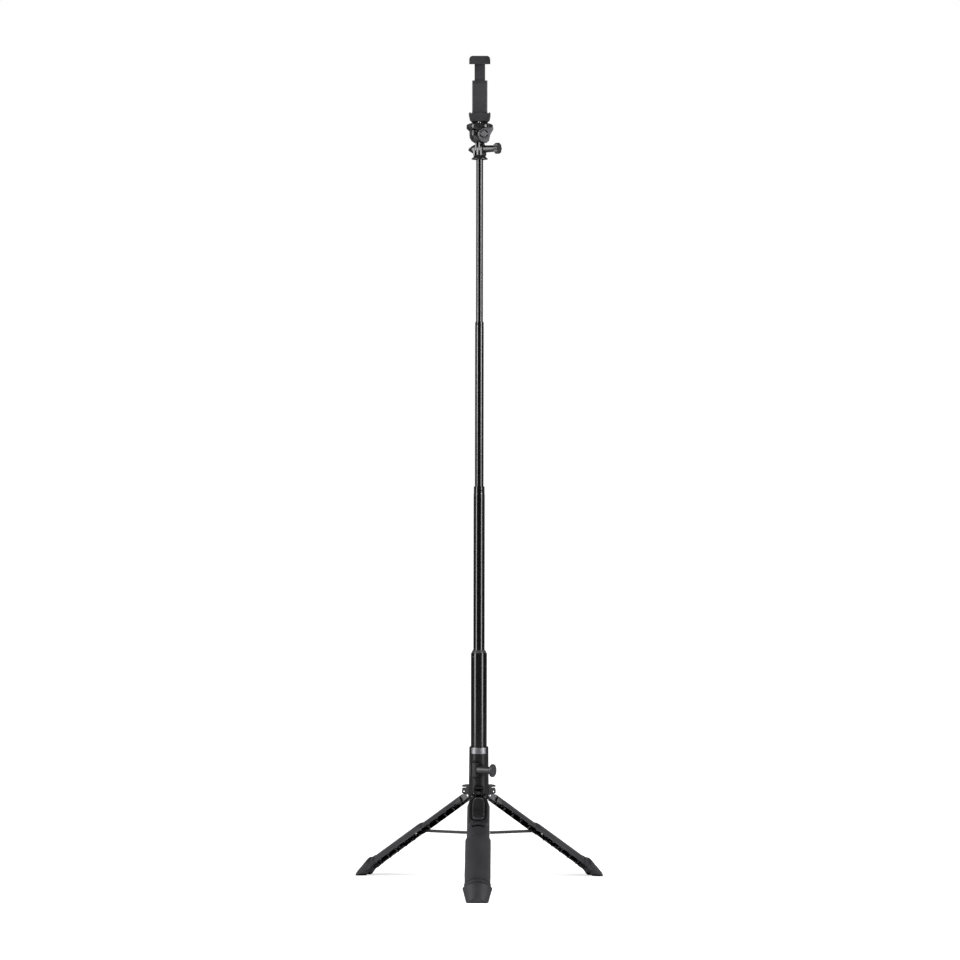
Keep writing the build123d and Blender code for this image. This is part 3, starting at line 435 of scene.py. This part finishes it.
def make_materials():
    """A finish for each of the record's material slots, and for what has a finish of its own."""
    finishes = {name: moulded(name, **look) for name, look in MOULDED.items()}
    finishes |= {name: drawn_metal(name, *look) for name, look in DRAWN.items()}
    finishes |= {name: turned_metal(name, *look) for name, look in TURNED.items()}
    finishes["circuit_board"] = circuit_lacquer()
    finishes["wing_knob"] = finishes["wing_satin"]
    for leg, azimuth in LEG_AZIMUTHS.items():
        # Each leg's shell gets its own copy, with painted shade in its open cells
        name = f"leg_shell_{leg}"
        finishes[name] = moulded(name, **MOULDED["shell_plastic"], leg=azimuth)
    return finishes


def paint_frame(materials):
    """Give each carried-over CAD node its own finish, or else its slot's."""
    for row in frame["record"]["subparts"]:
        node = NODES[row["node"]]
        for slot in node.material_slots:
            slot.material = materials.get(row["node"], materials[row["material_slot"]])


# ---------- pieces ----------


def make_piece(name, material, body, add_shape):
    """One smooth piece that rides on a body. add_shape fills in its mesh."""
    mesh = bpy.data.meshes.new(name)
    shape = bmesh.new()
    add_shape(shape)
    bmesh.ops.recalc_face_normals(shape, faces=shape.faces)
    shape.to_mesh(mesh)
    shape.free()
    for face in mesh.polygons:
        face.use_smooth = True
    piece = bpy.data.objects.new(name, mesh)
    bpy.context.scene.collection.objects.link(piece)
    mesh.materials.append(material)
    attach(piece, body)
    return piece


def smoothed(points, rounds=2):
    """A closed outline with its corners cut a few times."""
    near, far = 1 - CORNER_CUT, CORNER_CUT
    for _ in range(rounds):
        cut = []
        for (x0, y0), (x1, y1) in zip(points, points[1:] + points[:1]):
            cut.append((near * x0 + far * x1, near * y0 + far * y1))
            cut.append((far * x0 + near * x1, far * y0 + near * y1))
        points = cut
    return points


def join_rings(shape, here, there):
    """A band of faces between two rings of points."""
    count = len(here)
    for k in range(count):
        m = (k + 1) % count
        shape.faces.new((here[k], here[m], there[m], there[k]))


# ---------- remote ----------


def leg_point(x, y, down):
    """A point of the open front leg: x outward from the leg's section centre, y across, down its length."""
    angle = math.radians(OPEN_ANGLE)
    out = x + LEG_OUT - PIVOT_R
    radial = PIVOT_R + out * math.cos(angle) + down * math.sin(angle)
    height = PIVOT_Z + out * math.sin(angle) - down * math.cos(angle)
    return Vector((y, -radial, height)) * MM


def add_dash(shape, x, y, down):
    """One small block with softened edges, lying along the leg."""
    deep, wide, long = DASH_SIZE
    block = bmesh.ops.create_cube(shape, size=1.0)["verts"]
    for vert in block:
        across, out, along = vert.co
        vert.co = leg_point(x + out * deep, y + across * wide, down + along * long)
    edges = {edge for vert in block for edge in vert.link_edges}
    bmesh.ops.bevel(shape, geom=list(edges), offset=DASH_BEVEL * MM, segments=2, affect="EDGES")


def add_dashes(shape):
    for i in range(DASH_COUNT):
        for side in (-1, 1):
            add_dash(shape, DASH_OUT, side * DASH_HALF, DASH_FIRST + i * DASH_PITCH)


def bead_outline(half, span, cuts):
    (top, low), (high_cut, low_cut) = span, cuts
    right = [(half - high_cut, top), (half, top + high_cut), (half, low - low_cut), (half - low_cut, low)]
    left = [(-y, down) for y, down in reversed(right)]
    return smoothed(right + left)


def add_bead(shape, half, span, cuts, height, thick):
    """A flattened bead along a rounded outline on the open front leg."""
    points = bead_outline(half, span, cuts)
    rings = []
    for i, (y, down) in enumerate(points):
        (y0, d0), (y1, d1) = points[i - 1], points[(i + 1) % len(points)]
        length = math.hypot(y1 - y0, d1 - d0)
        ny, nd = (d1 - d0) / length, -(y1 - y0) / length
        ring = []
        for k in range(TUBE_SIDES):
            turn = math.tau * k / TUBE_SIDES
            wide, high = thick[0] * math.cos(turn), thick[1] * math.sin(turn)
            ring.append(shape.verts.new(leg_point(height + high, y + ny * wide, down + nd * wide)))
        rings.append(ring)
    for here, there in zip(rings, rings[1:] + rings[:1]):
        join_rings(shape, here, there)


def add_slot_shade_plate(shape):
    """A thin curved plate just under the leg's wall, seen through the finger slot; near black, it paints the
    slot's shade.
    """
    rings = []
    for i in range(SLOT_STEPS + 1):
        share = math.sin(math.pi / 2 * (2 * i / SLOT_STEPS - 1) * SLOT_REACH)
        y = SLOT_HALF * share
        size = (1 - share**SLOT_SQUARENESS) ** (1 / SLOT_SQUARENESS)
        face = math.sqrt(SLOT_FACE_R**2 - y * y)
        ring = []
        for k in range(TUBE_SIDES):
            turn = math.tau * k / TUBE_SIDES
            x = face + SLOT_THICK * math.sin(turn)
            down = SLOT_DOWN + SLOT_LONG * size * math.cos(turn)
            ring.append(shape.verts.new(leg_point(x, y, down)))
        rings.append(ring)
    for here, there in zip(rings, rings[1:]):
        join_rings(shape, here, there)
    shape.faces.new(rings[0])
    shape.faces.new(rings[-1])


def make_remote_trim(materials):
    """Two rows of raised dashes, the cover's rim, and painted shade: a black bead round it, a black plate in
    the slot below.
    """
    # dark is the near-black finish that paints shade in the groove and the slot
    gloss, rim, dark = (materials[name] for name in ("gloss_plastic", "rim_satin", "painted_shade_black"))
    make_piece("remote_dashes", gloss, "remote", add_dashes)
    make_piece("remote_rim", rim, "remote", lambda shape: add_bead(shape, **RIM))
    make_piece("remote_groove_shade", dark, "remote", lambda shape: add_bead(shape, **GROOVE_SHADE))
    # Painted shade seen through the finger slot
    make_piece("finger_slot_shade", dark, "leg_front", add_slot_shade_plate)


# ---------- lock ring ----------


def ring_outline():
    """Flat-topped lobes with soft corners, as points round the axis in mm."""
    far, half = RING_FLAT
    step = 360 / RING_LOBES
    points = []
    for i in range(RING_LOBES):
        turn = math.radians(step * i + RING_TURN)
        for x, y in ((far, -half), (far, half)):
            points.append((x * math.cos(turn) - y * math.sin(turn), x * math.sin(turn) + y * math.cos(turn)))
        valley = turn + math.radians(step / 2)
        points.append((RING_VALLEY * math.cos(valley), RING_VALLEY * math.sin(valley)))
    return smoothed(points, rounds=3)


def add_lock_ring(shape):
    """The lobed ring, from its bore outward and over the top to its neck."""
    low, high = (corner.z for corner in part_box("lock_ring"))
    outline = ring_outline()
    section = [(low + up * MM, radius, lobed) for up, radius, lobed in RING_LOWER]
    section += [(high - depth * MM, radius, lobed) for depth, radius, lobed in RING_UPPER]
    rings = []
    for z, radius, lobed in section:
        ring = []
        for x, y in outline:
            reach = math.hypot(x, y)
            scale = (radius + (reach - RING_VALLEY) * lobed) / reach
            ring.append(shape.verts.new((x * scale * MM, y * scale * MM, z)))
        rings.append(ring)
    for here, there in zip(rings, rings[1:] + rings[:1]):
        join_rings(shape, here, there)


def make_lock_ring(materials):
    gloss = materials["gloss_plastic"]
    ring = make_piece("lock_ring_lobed", gloss, "lock_ring", add_lock_ring)
    ring.modifiers.new("edges", "EDGE_SPLIT").split_angle = math.radians(RING_CREASE)
    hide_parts("lock_ring")


# ---------- studio ----------


def floor_paint():
    """White paint that glows where it is seen, more so far away, so that it meets the white behind."""
    shader = Shader("pale_floor")
    tone = shader.mix(shader.noise(1.2, 2.0), *FLOOR_SHADES)
    distance = shader.add("ShaderNodeVectorMath", operation="LENGTH")
    shader.join(shader.place, distance, 0)
    glow = shader.remap(distance.outputs["Value"], *FLOOR_GLOW)
    path = shader.add("ShaderNodeLightPath")
    seen = shader.maths("MULTIPLY", glow, path.outputs["Is Camera Ray"])
    shader.join(seen, shader.surface, "Emission Strength")
    return shader.finish(tone, FLOOR_ROUGHNESS, Emission_Color=WHITE, Specular_IOR_Level=0.0)


def make_floor():
    mesh = bpy.data.meshes.new("floor")
    shape = bmesh.new()
    bmesh.ops.create_circle(shape, cap_ends=True, segments=FLOOR_SIDES, radius=FLOOR_RADIUS)
    shape.to_mesh(mesh)
    shape.free()
    floor = bpy.data.objects.new("floor", mesh)
    bpy.context.scene.collection.objects.link(floor)
    mesh.materials.append(floor_paint())


def soft_light(name, place, target, size, power):
    """A rectangular light. Its front is its -Z, turned to look at target."""
    data = bpy.data.lights.new(name, "AREA")
    data.shape = "RECTANGLE"
    data.size, data.size_y = size
    data.energy = power
    light = bpy.data.objects.new(name, data)
    light.location = place
    direction = Vector(target) - light.location
    light.rotation_euler = direction.to_track_quat("-Z", "Y").to_euler()
    bpy.context.scene.collection.objects.link(light)


def make_lights():
    """A tall strip on each side, dimmer in its lower band, and a wide light overhead."""
    for side, degrees in STRIP_ANGLES.items():
        angle = math.radians(degrees)
        x = STRIP_DISTANCE * math.sin(angle)
        y = -STRIP_DISTANCE * math.cos(angle)
        for band, (bottom, top, power) in STRIP_BANDS.items():
            middle = (bottom + top) / 2
            size = (STRIP_WIDTH, top - bottom)
            soft_light(f"strip_{side}_{band}", (x, y, middle), (0, 0, middle), size, power)
    soft_light("overhead", TOP_AT, TOP_AIM, TOP_SIZE, TOP_POWER)


def world_ramp(tree, value, numbers):
    """A smooth ramp of value, from numbers' first two to its last two."""
    ramp = tree.nodes.new("ShaderNodeMapRange")
    ramp.interpolation_type = "SMOOTHSTEP"
    for key, number in zip(("From Min", "From Max", "To Min", "To Max"), numbers):
        ramp.inputs[key].default_value = number
    tree.links.new(value, ramp.inputs["Value"])
    return ramp.outputs["Result"]


def make_world():
    """White seen directly, and for reflections a dim room, brighter behind and darker overhead."""
    world = bpy.data.worlds.new("studio")
    world.use_nodes = True
    bpy.context.scene.world = world
    tree = world.node_tree
    tree.nodes.clear()
    output = tree.nodes.new("ShaderNodeOutputWorld")
    seen = tree.nodes.new("ShaderNodeBackground")
    seen.inputs["Strength"].default_value = 1.0
    seen.inputs["Color"].default_value = WHITE
    room = tree.nodes.new("ShaderNodeBackground")
    room.inputs["Color"].default_value = WHITE
    coordinates = tree.nodes.new("ShaderNodeTexCoord")
    split = tree.nodes.new("ShaderNodeSeparateXYZ")
    tree.links.new(coordinates.outputs["Generated"], split.inputs[0])
    product = tree.nodes.new("ShaderNodeMath")
    product.operation = "MULTIPLY"
    for i, (axis, numbers) in enumerate(ROOM_RAMPS.items()):
        tree.links.new(world_ramp(tree, split.outputs[axis], numbers), product.inputs[i])
    tree.links.new(product.outputs[0], room.inputs["Strength"])
    path = tree.nodes.new("ShaderNodeLightPath")
    mix = tree.nodes.new("ShaderNodeMixShader")
    tree.links.new(path.outputs["Is Camera Ray"], mix.inputs["Fac"])
    tree.links.new(room.outputs[0], mix.inputs[1])
    tree.links.new(seen.outputs[0], mix.inputs[2])
    tree.links.new(mix.outputs[0], output.inputs["Surface"])


def make_camera():
    data = bpy.data.cameras.new("camera")
    data.lens = CAMERA_LENS
    data.sensor_width = SENSOR
    data.clip_start, data.clip_end = CAMERA_CLIP
    camera = bpy.data.objects.new("camera", data)
    camera.location = CAMERA_AT
    camera.rotation_euler = [math.radians(angle) for angle in CAMERA_TURN]
    bpy.context.scene.collection.objects.link(camera)
    bpy.context.scene.camera = camera
    bpy.context.scene.view_settings.view_transform = "Standard"


make_camera()
make_world()
make_lights()
make_floor()
materials = make_materials()
paint_frame(materials)
make_remote_trim(materials)
make_lock_ring(materials)
